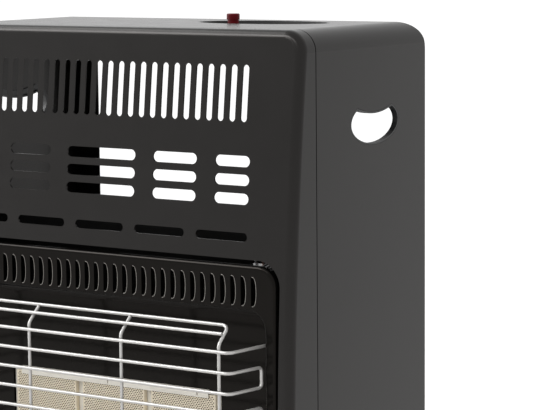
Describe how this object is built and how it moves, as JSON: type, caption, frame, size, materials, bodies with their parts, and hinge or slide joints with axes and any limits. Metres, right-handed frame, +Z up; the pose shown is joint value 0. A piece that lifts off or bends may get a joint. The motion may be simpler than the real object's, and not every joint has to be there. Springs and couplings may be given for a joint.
{
  "type": "portable gas cabinet heater",
  "caption": "Upright portable gas heater on castors, with a slotted bulged front, ceramic radiant burner behind a wire guard, sunken top controls, side grips and a rounded rear bottle cover.",
  "frame": {"origin": "on the floor, under the middle of the overall bounding box", "axes": "+X to the right seen from the front, +Y to the rear, +Z up"},
  "size_m": [0.45, 0.4128, 0.7435],
  "materials": {
    "cabinet_paint": "satin",
    "shield_paint": "heat-resistant, matte",
    "zinc_sheet": "galvanised",
    "aluminised_sheet": "aluminised, dull",
    "black_enamel": "gloss",
    "guard_chrome": "bright",
    "burner_ceramic": "unglazed",
    "burner_trim": "heat-resistant, satin",
    "black_plastic": "matte",
    "knob_plastic": "matte",
    "button_red": "gloss",
    "piezo_plastic": "matte",
    "valve_casting": "die-cast",
    "brass": "machined",
    "steel": "zinc-plated",
    "pipe_aluminium": "drawn",
    "copper": "copper, drawn",
    "electrode_ceramic": "glazed",
    "lead_insulation": "silicone, satin",
    "castor_zinc": "zinc-plated",
    "castor_nylon": "matte"
  },
  "bodies": {
    "cabinet": {"cabinet_shell": "cabinet_paint", "front_cover": "cabinet_paint", "heat_shield": "shield_paint", "housing_bracket_left": "shield_paint", "housing_bracket_right": "shield_paint", "base_tray": "zinc_sheet", "injector_bar": "zinc_sheet", "burner_box_left": "aluminised_sheet", "burner_box_centre": "aluminised_sheet", "burner_box_right": "aluminised_sheet", "venturi_tubes": "aluminised_sheet", "pilot_bracket": "aluminised_sheet", "reflector_housing": "black_enamel", "wire_guard": "guard_chrome", "plaque_left": "burner_ceramic", "plaque_centre": "burner_ceramic", "plaque_right": "burner_ceramic", "burner_rail_upper": "burner_trim", "burner_rail_lower": "burner_trim", "burner_dividers": "burner_trim", "handle_insert_left": "black_plastic", "handle_insert_right": "black_plastic", "control_dish": "black_plastic", "piezo_body": "piezo_plastic", "piezo_nut": "piezo_plastic", "gas_valve": "valve_casting", "injectors": "brass", "hose_tail": "brass", "pilot_burner": "brass", "valve_nut": "steel", "bracket_screws": "steel", "castor_screws": "steel", "feed_pipe_left": "pipe_aluminium", "feed_pipe_centre": "pipe_aluminium", "feed_pipe_right": "pipe_aluminium", "pilot_pipe": "pipe_aluminium", "thermocouple": "copper", "spark_electrode": "electrode_ceramic", "ignition_lead": "lead_insulation", "castor_plate_front_left": "castor_zinc", "castor_plate_front_right": "castor_zinc", "castor_plate_rear_left": "castor_zinc", "castor_plate_rear_right": "castor_zinc"},
    "rear_cover_body": {"rear_cover": "cabinet_paint"},
    "valve_sleeve": {"valve_driver": "brass"},
    "knob": {"control_knob": "knob_plastic", "valve_stem": "steel"},
    "igniter_button": {"piezo_button": "button_red"},
    "fork_front_left": {"castor_fork_front_left": "castor_zinc", "castor_axle_front_left": "steel"},
    "wheel_front_left": {"castor_wheel_front_left": "castor_nylon"},
    "fork_front_right": {"castor_fork_front_right": "castor_zinc", "castor_axle_front_right": "steel"},
    "wheel_front_right": {"castor_wheel_front_right": "castor_nylon"},
    "fork_rear_left": {"castor_fork_rear_left": "castor_zinc", "castor_axle_rear_left": "steel"},
    "wheel_rear_left": {"castor_wheel_rear_left": "castor_nylon"},
    "fork_rear_right": {"castor_fork_rear_right": "castor_zinc", "castor_axle_rear_right": "steel"},
    "wheel_rear_right": {"castor_wheel_rear_right": "castor_nylon"}
  },
  "joints": [
    {"name": "rear_cover_lift", "type": "slide", "parent": "cabinet", "child": "rear_cover_body", "axis": [0, 0, 1], "range_m": [0, 0.02]},
    {"name": "knob_turn", "type": "hinge", "parent": "cabinet", "child": "valve_sleeve", "pos_m": [0.118, 0.00343, 0.7], "axis": [0, 0, 1], "range_deg": [0, 270]},
    {"name": "knob_press", "type": "slide", "parent": "valve_sleeve", "child": "knob", "axis": [0, 0, -1], "range_m": [0, 0.004], "stiffness_N_per_m": 800, "springref_m": -0.002},
    {"name": "igniter_press", "type": "slide", "parent": "cabinet", "child": "igniter_button", "axis": [0, 0, -1], "range_m": [0, 0.006], "stiffness_N_per_m": 600, "springref_m": -0.003},
    {"name": "swivel_front_left", "type": "hinge", "parent": "cabinet", "child": "fork_front_left", "pos_m": [-0.185, -0.12657, 0.055], "axis": [0, 0, 1], "continuous": true},
    {"name": "roll_front_left", "type": "hinge", "parent": "fork_front_left", "child": "wheel_front_left", "pos_m": [-0.185, -0.11257, 0.021], "axis": [1, 0, 0], "continuous": true},
    {"name": "swivel_front_right", "type": "hinge", "parent": "cabinet", "child": "fork_front_right", "pos_m": [0.185, -0.12657, 0.055], "axis": [0, 0, 1], "continuous": true},
    {"name": "roll_front_right", "type": "hinge", "parent": "fork_front_right", "child": "wheel_front_right", "pos_m": [0.185, -0.11257, 0.021], "axis": [1, 0, 0], "continuous": true},
    {"name": "swivel_rear_left", "type": "hinge", "parent": "cabinet", "child": "fork_rear_left", "pos_m": [-0.14, 0.14342, 0.055], "axis": [0, 0, 1], "continuous": true},
    {"name": "roll_rear_left", "type": "hinge", "parent": "fork_rear_left", "child": "wheel_rear_left", "pos_m": [-0.14, 0.15743, 0.021], "axis": [1, 0, 0], "continuous": true},
    {"name": "swivel_rear_right", "type": "hinge", "parent": "cabinet", "child": "fork_rear_right", "pos_m": [0.14, 0.14342, 0.055], "axis": [0, 0, 1], "continuous": true},
    {"name": "roll_rear_right", "type": "hinge", "parent": "fork_rear_right", "child": "wheel_rear_right", "pos_m": [0.14, 0.15743, 0.021], "axis": [1, 0, 0], "continuous": true}
  ]
}
